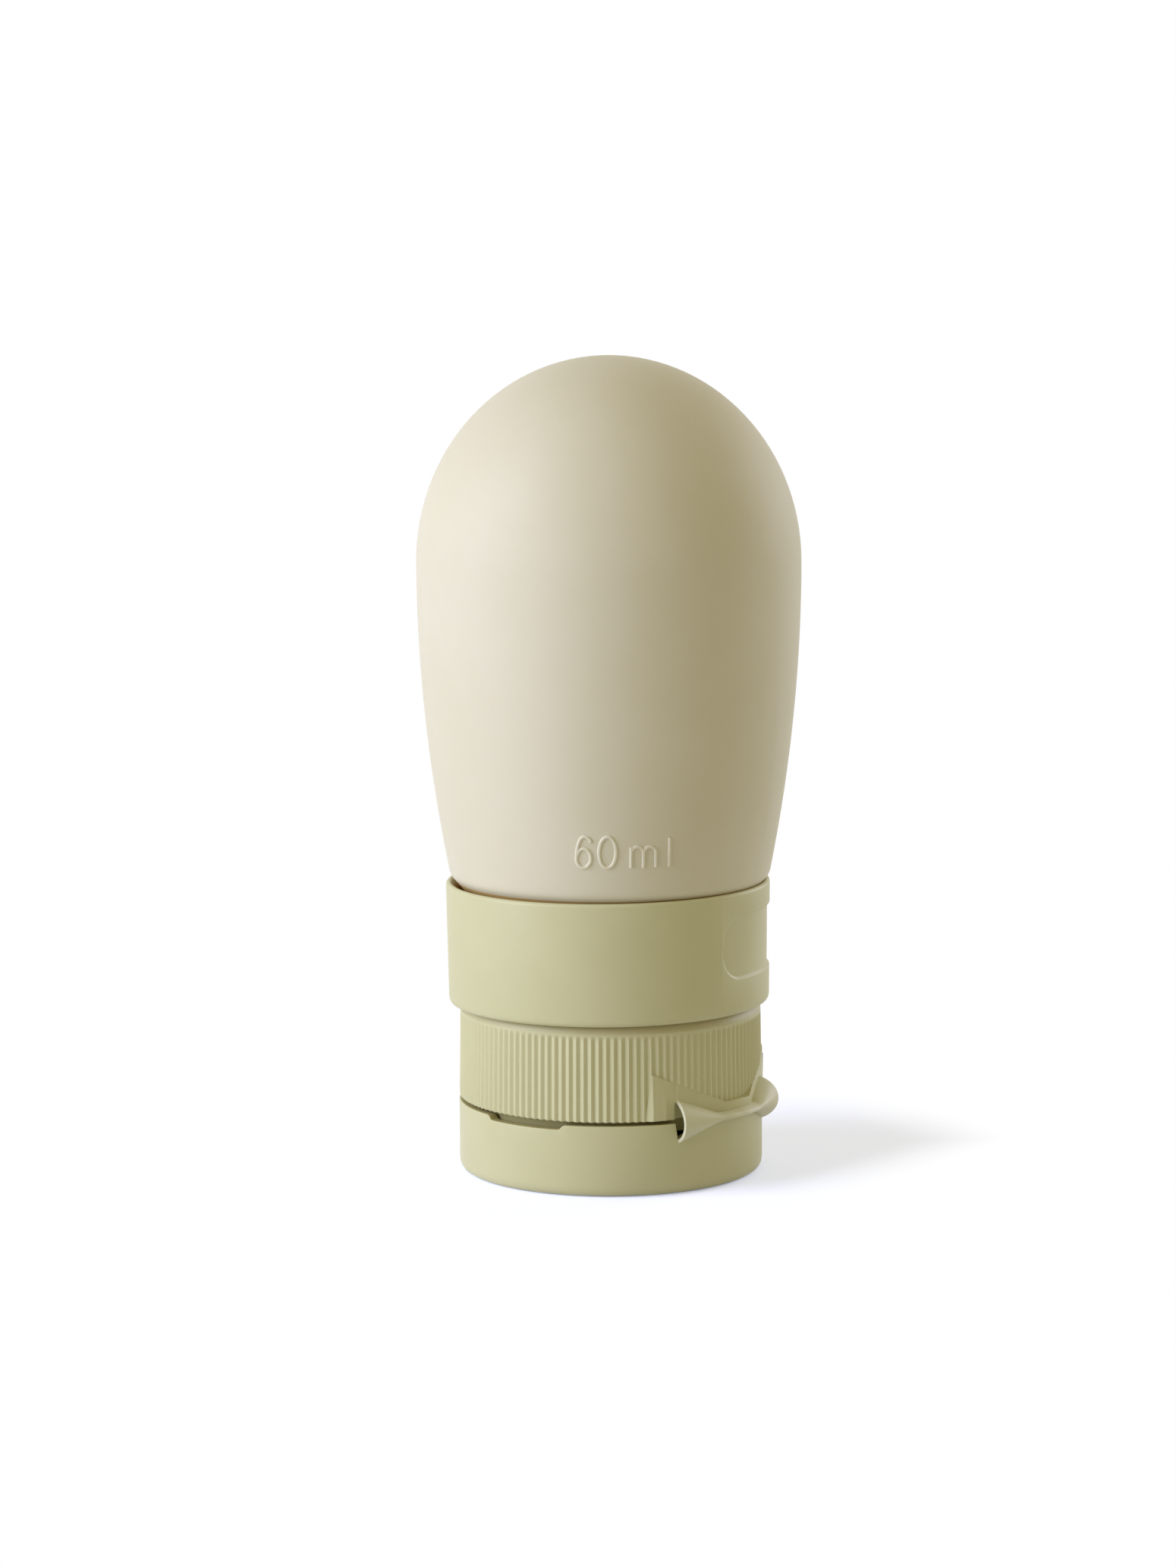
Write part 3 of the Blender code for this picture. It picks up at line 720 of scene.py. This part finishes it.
def landHeight(angle):
    # the lands rise in a straight line towards their ends
    innerReach = land["plane"] * math.tan(land["innerAngle"] - land["normal"])
    reach = land["plane"] * math.tan(max(abs(angle), land["innerAngle"]) - land["normal"])
    share = (reach - innerReach) / (land["outer"] - innerReach)
    return land["stripHeight"] + (land["outerHeight"] - land["stripHeight"]) * share


def landStops():
    run = (land["outerAngle"] - land["innerAngle"]) / land["columns"]
    side = [land["innerAngle"] + run * step for step in range(land["columns"] + 1)]
    return [-angle for angle in side[::-1]] + side


# Screw cap: ribbed skirt, lands for the hinge, plinth, spout and valve well

cap = {
    "low": 8.8 * mm, "radius": 17.9 * mm, "draft": 0.15 * mm, "plinth": 16.45 * mm,
    "plinthLow": 7.2 * mm, "spout": 4.4 * mm, "spoutBore": 3.0 * mm, "spoutLow": 4.8 * mm,
    "boreFloor": 7.8 * mm, "ribs": 128, "ribColumns": 6, "ribDepth": 0.21 * mm,
    "fadeSteps": 5, "rowReach": 0.02 * mm, "ribFadeLow": 18.45 * mm, "ribTop": 19.0 * mm,
    "shoulderLow": 19.2 * mm, "top": 20.5 * mm, "shoulder": 17.2 * mm, "bore": 16.3 * mm,
    "pocket": 15.3 * mm, "pocketTop": 11.6 * mm,
    "pocketLow": 10.6 * mm, "deck": 9.0 * mm, "well": 7.7 * mm, "wellTop": 12.0 * mm,
    "wellBore": 6.5 * mm, "valveBore": 4.5 * mm, "edge": 0.22 * mm, "innerEdge": 0.15 * mm,
    "recess": 0.8 * mm, "proud": 1.0 * mm,
}


def skirtRadius(height):
    run = cap["shoulderLow"] - cap["low"]
    return cap["radius"] - cap["draft"] * (height - cap["low"]) / run


def capShell():
    # a turned cup, with columns of its skirt pushed in between the ribs, less so towards their tops
    edge, fine = cap["edge"], cap["innerEdge"]
    fades = [cap["ribFadeLow"] + (cap["ribTop"] - cap["ribFadeLow"]) * step / cap["fadeSteps"]
             for step in range(cap["fadeSteps"] + 1)]
    outside = softened([(cap["plinth"], cap["low"], 0), (cap["radius"], cap["low"], edge),
                        (skirtRadius(fades[0]), fades[0], 0)], steps=3)[:-1]
    ribRows = [(skirtRadius(height), height) for height in fades]
    shoulder = [(skirtRadius(cap["shoulderLow"]), cap["shoulderLow"], fine),
                (cap["shoulder"], cap["top"], edge), (cap["bore"], cap["top"], fine)]
    insideParts = [(cap["bore"], cap["pocketTop"], 0), (cap["pocket"], cap["pocketLow"], 0),
                   (cap["pocket"], cap["deck"], 0), (cap["well"], cap["deck"], 0),
                   (cap["well"], cap["wellTop"], fine), (cap["wellBore"], cap["wellTop"], fine),
                   (cap["wellBore"], cap["deck"], 0), (cap["valveBore"], cap["deck"], fine),
                   (cap["valveBore"], cap["boreFloor"], 0),
                   (cap["spoutBore"], cap["boreFloor"], fine),
                   (cap["spoutBore"], cap["spoutLow"], fine),
                   (cap["spout"], cap["spoutLow"], fine), (cap["spout"], cap["plinthLow"], fine),
                   (cap["plinth"], cap["plinthLow"], fine)]
    rest = softened([(skirtRadius(cap["ribTop"]), cap["ribTop"], 0)] + shoulder + insideParts
                    + [(cap["plinth"], cap["low"], 0)], steps=2)[1:-1]
    shell = turnedPiece("screwCap", outside + ribRows + rest, cap["ribs"] * cap["ribColumns"])
    bpy.ops.object.mode_set(mode="EDIT")
    column = fullTurn / (cap["ribs"] * cap["ribColumns"])
    middle = cap["ribColumns"] // 2
    for offset in range(1, middle + 1):
        share = (1 - math.cos(math.pi * offset / middle)) / 2
        for height in fades[:-1]:
            fade = 1 - (height - fades[0]) / (fades[-1] - fades[0])
            fade = fade * fade * (3 - 2 * fade)
            low = 0 if height == fades[0] else height - cap["rowReach"]
            high = height + cap["rowReach"]

            def inRow(spot):
                if not low < spot.z < high or spot.xy.length < cap["radius"] - 3 * edge:
                    return False
                number = round(math.atan2(spot.y, spot.x) / column) % cap["ribColumns"]
                return min(number, cap["ribColumns"] - number) == offset

            pick(shell, inRow)
            size = 1 - cap["ribDepth"] * share * fade / cap["radius"]
            bpy.ops.transform.resize(value=(size, size, 1), center_override=(0, 0, 0))
    bpy.ops.object.mode_set(mode="OBJECT")
    return shell


def hingeLand():
    # a block a little thicker than the lands, which thins out into the ribs beyond both ends
    low, back = cap["low"] + land["footGap"], land["back"]
    columns = []
    for angle in landStops():
        trim = land["trim"] if abs(angle) < land["outerAngle"] else 0
        columns.append((angle, angle, landRadius(angle) + trim, landHeight(angle)))
    foot = land["outerAngle"] + land["endRun"] / cap["radius"]
    top = land["outerAngle"] + land["topRun"] / cap["radius"]
    thin = cap["radius"] - cap["draft"]
    columns.insert(0, (-foot, -top, thin, land["outerHeight"]))
    columns.append((foot, top, thin, land["outerHeight"]))
    sections = []
    for foot, top, outer, height in columns:
        high = cap["low"] + height
        sections.append([polar(back, foot, low), polar(outer, foot, low),
                         polar(outer, top, high), polar(back, top, high)])
    return loftedPiece("hingeLand", sections)


def landCutter():
    # trims the block and the ribs to the facets
    stops = landStops()
    past = land["topRun"] / cap["radius"]
    sections = []
    for angle in [stops[0] - past] + stops + [stops[-1] + past]:
        low = cap["low"] - cap["proud"]
        high = cap["low"] + landHeight(angle) + land["trim"] / 2
        far = cap["radius"] + 2 * cap["proud"]
        sections.append([polar(landRadius(angle), angle, low), polar(far, angle, low),
                         polar(far, angle, high), polar(landTop(angle), angle, high)])
    return loftedPiece("landCutter", sections)


def recessCutter(side):
    # lets the hollow behind one wing into the skirt
    sections = []
    for angle in range(wing["windowStart"], wing["windowEnd"] + 1):
        turn = side * math.radians(angle)
        low = cap["low"] - cap["proud"]
        high = partingHeight + wingHalf(turn) - wing["windowEdge"]
        near, far = cap["radius"] - cap["recess"], landRadius(turn) + cap["proud"]
        sections.append([polar(near, turn, low), polar(far, turn, low),
                         polar(far, turn, high), polar(near, turn, high)])
    return loftedPiece("recessCutter", sections)


screwCap = capShell()
combine(screwCap, hingeLand(), "UNION")
combine(screwCap, landCutter(), "DIFFERENCE")
for side in (-1, 1):
    combine(screwCap, recessCutter(side), "DIFFERENCE")
turnBy(screwCap, hingeAngle)
# painted shade on the cap's plinth and underside, in the gap above the lid
capGapShade = {
    "inside": cap["plinth"] - 0.1 * mm, "outside": cap["radius"] - cap["edge"],
    "low": cap["plinthLow"], "high": cap["low"] + 0.05 * mm, "soft": 0.1 * mm,
    "color": (0.24, 0.20, 0.05, 1), "share": 0.7,
}
shoulderShade = {
    "inside": cap["bore"], "outside": cap["radius"], "low": cap["shoulderLow"],
    "high": cap["top"], "soft": 0.25 * mm, "color": (0.40, 0.36, 0.16, 1), "share": 0.4,
}
capPlastic = moulded("capPlastic", oliveLook, paintedGapShade(capGapShade), paintedGapShade(shoulderShade))
dress(screwCap, capPlastic)
mount(screwCap, "cap", "cap_base")


# Flip lid: a turned cup whose rim is pushed down for the grip notches and behind the hinge's wings

lid = {
    "height": 8.4 * mm, "radius": 17.95 * mm, "bore": 16.75 * mm, "floor": 2.4 * mm,
    "edge": 1.35 * mm, "rimRound": 0.16 * mm, "floorRound": 0.5 * mm, "plug": 2.7 * mm,
    "plugBore": 1.8 * mm, "plugTop": 6.4 * mm, "plugShoulder": 4.8 * mm, "plugTaper": 0.3 * mm,
    "stillHeight": 5.6 * mm, "sides": 360,
    "notchDepth": 0.55 * mm, "notchHalf": 4.95 * mm, "notchSlant": 0.5 * mm,
    "lip": 0.42 * mm, "lipHeight": 8.02 * mm, "lipHalf": math.radians(7.5),
    "lipSunk": 0.05 * mm, "lipFall": 0.3 * mm, "lipSteps": 16, "lipRoundness": 3,
    "rimReach": 0.1 * mm,
}


def rimDrop(angle):
    # how far the rim lies below its own height, at an angle from the hinge
    turn = abs(math.degrees(angle))
    if wing["windowStart"] <= turn <= wing["windowEnd"]:
        return lid["height"] - partingHeight + wingHalf(angle) - wing["windowEdge"]
    arc = abs(abs(angle) - fullTurn / 4) * lid["radius"]
    share = (lid["notchHalf"] + lid["notchSlant"] - arc) / lid["notchSlant"]
    return lid["notchDepth"] * min(1, max(0, share))


def lidShell():
    rim, still = lid["rimRound"], lid["stillHeight"]
    corners = [(lid["radius"], 0, lid["edge"]), (lid["radius"], still, 0),
               (lid["radius"], lid["height"], rim), (lid["bore"], lid["height"], rim),
               (lid["bore"], still, 0), (lid["bore"], lid["floor"], lid["floorRound"]),
               (lid["plug"], lid["floor"], lid["floorRound"] / 2),
               (lid["plug"], lid["plugShoulder"], 0),
               (lid["plug"] - lid["plugTaper"], lid["plugTop"], lid["plugTaper"]),
               (lid["plugBore"], lid["plugTop"], lid["plugTaper"] / 2),
               (lid["plugBore"], lid["floor"], lid["plugTaper"])]
    outline = softened([(0, 0, 0)] + corners + [(0, lid["floor"], 0)])
    shell = turnedPiece("flipLid", outline, lid["sides"], closed=False)
    column = fullTurn / lid["sides"]
    drops = {}  # in rounded millimetres, so that columns with the same drop move together
    for number in range(lid["sides"]):
        drop = round(rimDrop(math.remainder(number * column, fullTurn)) / mm, 4)
        if drop:
            drops.setdefault(drop, set()).add(number)
    bpy.ops.object.mode_set(mode="EDIT")
    for drop, numbers in drops.items():

        def onRim(spot):
            high = spot.z > still + lid["rimReach"] and spot.xy.length > lid["bore"] - rim
            return high and round(math.atan2(spot.y, spot.x) / column) % lid["sides"] in numbers

        pick(shell, onRim)
        bpy.ops.transform.translate(value=(0, 0, -drop * mm))
    bpy.ops.object.mode_set(mode="OBJECT")
    return shell


def waistLip():
    # a low lip on the lid under the hinge's waist, which sinks into the wall at both ends
    spots = []
    for step in range(lid["lipSteps"] + 1):
        share = 2 * step / lid["lipSteps"] - 1
        radius = lid["radius"] - lid["lipSunk"] - lid["lipFall"] * share ** 4
        spots.append(polar(radius, lid["lipHalf"] * share, lid["lipHeight"]))
    return bead("waistLip", spots, lid["lip"], lid["lipRoundness"])


flipLid = lidShell()
combine(flipLid, waistLip(), "UNION")
turnBy(flipLid, hingeAngle)
# painted shade on the lid's rim and the top of its inner wall, where it lies beside the cap
lidGapShade = {
    "inside": lid["bore"] - 0.05 * mm, "outside": lid["radius"] - lid["rimRound"],
    "low": lid["height"] - 1.2 * mm, "high": lid["height"], "soft": 0.08 * mm,
    "color": (0.42, 0.33, 0.08, 1), "share": 0.6,
}
dress(flipLid, moulded("lidPlastic", oliveLook, paintedGapShade(lidGapShade)))
mount(flipLid, "lid", "flip_lid")


# Butterfly hinge, a thin shell rooted in the cap's lands above and in the lid's wall below

def hingeShell():
    sections = []
    for station in range(wing["stations"] + 1):
        angle = wing["halfAngle"] * (2 * station / wing["stations"] - 1)
        bulge = wing["waistBulge"] + (wing["bulge"] - wing["waistBulge"]) * wingShare(angle)
        top, foot = landRadius(angle) - wing["sunk"], lid["radius"] - wing["sunk"]
        outermost = (landRadius(angle) + lid["radius"] + wing["wall"]) / 2 + wing["gap"] + bulge
        section = []
        for step in range(wing["steps"] + 1):
            lean = wing["lean"] * (1 - 2 * step / wing["steps"])
            out = (math.cos(lean) - math.cos(wing["lean"])) / (1 - math.cos(wing["lean"]))
            rise = math.sin(lean) / math.sin(wing["lean"])
            root = (foot + top) / 2 + (top - foot) / 2 * rise
            reach = outermost + (top - foot) / 2 * rise
            height = partingHeight + wingHalf(angle) * rise
            section.append(polar(root + (reach - root) * out, angle, height))
        sections.append(section)
    shell = loftedPiece("butterflyHinge", sections, closed=False)
    wall = shell.modifiers.new("wall", "SOLIDIFY")
    wall.thickness = wing["wall"]
    wall.offset = 0
    wall.use_even_offset = True
    soften = shell.modifiers.new("soften", "BEVEL")
    soften.width = wing["softWidth"]
    soften.segments = wing["softSteps"]
    soften.limit_method = "ANGLE"
    soften.angle_limit = wing["softAngle"]
    workOn(shell)
    bpy.ops.object.modifier_apply(modifier=wall.name)
    bpy.ops.object.modifier_apply(modifier=soften.name)
    return shell


butterflyHinge = hingeShell()
turnBy(butterflyHinge, hingeAngle)
dress(butterflyHinge, hingeOlive)
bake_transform(butterflyHinge)
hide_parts("butterfly_hinge")
print("made", butterflyHinge.name)


# The gasket, valve and ring inside keep their solids and get their finishes

for node, material in (("cap_gasket", clear), ("valve", clear), ("valve_retainer", inner)):
    solid = frame["nodes"][node]
    solid.data.materials.clear()
    solid.data.materials.append(material)
print("gasket, valve and ring finished")


# Camera, lamps and floor

shot = {
    "distance": 546.4 * mm, "height": 122.2 * mm, "lens": 107.68, "sensor": 36,
    "aimHeight": 45.72 * mm, "aimLeft": 2.54 * mm, "roll": math.radians(-0.25),
}
# a lamp's turn is in degrees, counted from the camera's side
lamps = {
    "key": {"turn": -68, "height": 0.30, "distance": 0.75, "size": 0.65, "power": 7.0,
            "color": (0.712, 0.772, 1.0)},
    "rim": {"turn": 125, "height": 0.25, "distance": 0.75, "size": 0.5, "power": 2.07,
            "color": (0.777, 0.819, 1.0)},
}
# near the bottle the floor shows its shadow, and further out it turns plain white
room = {
    "ambient": 0.408, "ambientColor": (1.0, 0.895, 0.454, 1), "floorColor": (0.77, 0.77, 0.77, 1),
    "seenColor": (1.0, 1.0, 1.2, 1), "seenGlow": (0.295, 0.330, 0.423, 1), "floorSize": 1.6,
    "plainFrom": 36 * mm, "plainTo": 52 * mm, "edgeAngle": math.radians(-39.6),
    "edgeFrom": 20.5 * mm, "edgeTo": 33 * mm,
}


def pointAt(thing, place, aim, roll=0):
    look = (aim - place).to_track_quat("-Z", "Y").to_matrix().to_4x4()
    thing.matrix_world = Matrix.Translation(place) @ look @ Matrix.Rotation(roll, 4, "Z")


def placeCamera():
    workOn()
    bpy.ops.object.camera_add()
    camera = bpy.context.object
    left = Vector((math.sin(viewAngle), -math.cos(viewAngle), 0))
    aim = Vector((0, 0, shot["aimHeight"])) + left * shot["aimLeft"]
    place = Vector(polar(shot["distance"], viewAngle, shot["height"]))
    pointAt(camera, place, aim, shot["roll"])
    camera.data.lens = shot["lens"]
    camera.data.sensor_width = shot["sensor"]
    bpy.context.scene.camera = camera


def placeLamp(name, lamp):
    workOn()
    bpy.ops.object.light_add(type="AREA")
    light = bpy.context.object
    light.name = name
    angle = viewAngle + math.radians(lamp["turn"])
    place = Vector(polar(lamp["distance"], angle, lamp["height"]))
    pointAt(light, place, Vector((0, 0, shot["aimHeight"])))
    light.data.shape = "DISK"
    light.data.size = lamp["size"]
    light.data.energy = lamp["power"]
    light.data.color = lamp["color"]


def seenDirectly(wire):
    # 1 for camera, glossy and transmission rays
    seen = [wire.node("ShaderNodeLightPath", output=f"Is {kind} Ray")
            for kind in ("Camera", "Glossy", "Transmission")]
    return wire.sum("MINIMUM", seen[0] + seen[1] + seen[2], 1.0)


def floorMaterial():
    material, wire, place = emptyMaterial("whiteFloor")
    seen = seenDirectly(wire)
    color = wire.blendColor(seen, room["floorColor"], room["seenColor"])
    plain = wire.node("ShaderNodeBsdfDiffuse", {}, {"Color": color})
    glow = wire.node("ShaderNodeEmission", {}, {"Color": room["seenGlow"], "Strength": seen})
    near = wire.node("ShaderNodeAddShader", {}, {0: plain, 1: glow})
    far = wire.node("ShaderNodeEmission", {}, {"Color": white, "Strength": 1.0})
    around = wire.ease(wire.vector("LENGTH", place), room["plainFrom"], room["plainTo"])
    across = wire.vector("DOT_PRODUCT", place, polar(1, room["edgeAngle"], 0))
    ahead = wire.ease(across, room["edgeFrom"], room["edgeTo"])
    share = wire.sum("MAXIMUM", around, ahead) * seen
    mixed = wire.node("ShaderNodeMixShader", {}, {0: share, 1: near, 2: far})
    wire.node("ShaderNodeOutputMaterial", {}, {"Surface": mixed})
    return material


def buildFloor():
    workOn()
    bpy.ops.mesh.primitive_plane_add(size=room["floorSize"])
    floor = bpy.context.object
    floor.name = "floor"
    floor.data.materials.append(floorMaterial())


def buildWorld():
    # warm dim light from all round, and white where it is seen directly
    world = bpy.data.worlds.new("room")
    world.use_nodes = True
    bpy.context.scene.world = world
    wire = Wire(world.node_tree)
    world.node_tree.nodes.clear()
    seen = seenDirectly(wire)
    light = wire.node("ShaderNodeBackground", {},
                      {"Color": room["ambientColor"], "Strength": room["ambient"]})
    plain = wire.node("ShaderNodeBackground", {}, {"Color": white, "Strength": 1.0})
    mixed = wire.node("ShaderNodeMixShader", {}, {0: seen, 1: light, 2: plain})
    wire.node("ShaderNodeOutputWorld", {}, {"Surface": mixed})


placeCamera()
for name, lamp in lamps.items():
    placeLamp(name, lamp)
buildFloor()
buildWorld()
bpy.context.scene.view_settings.view_transform = "Standard"
print("camera, lamps and floor placed")
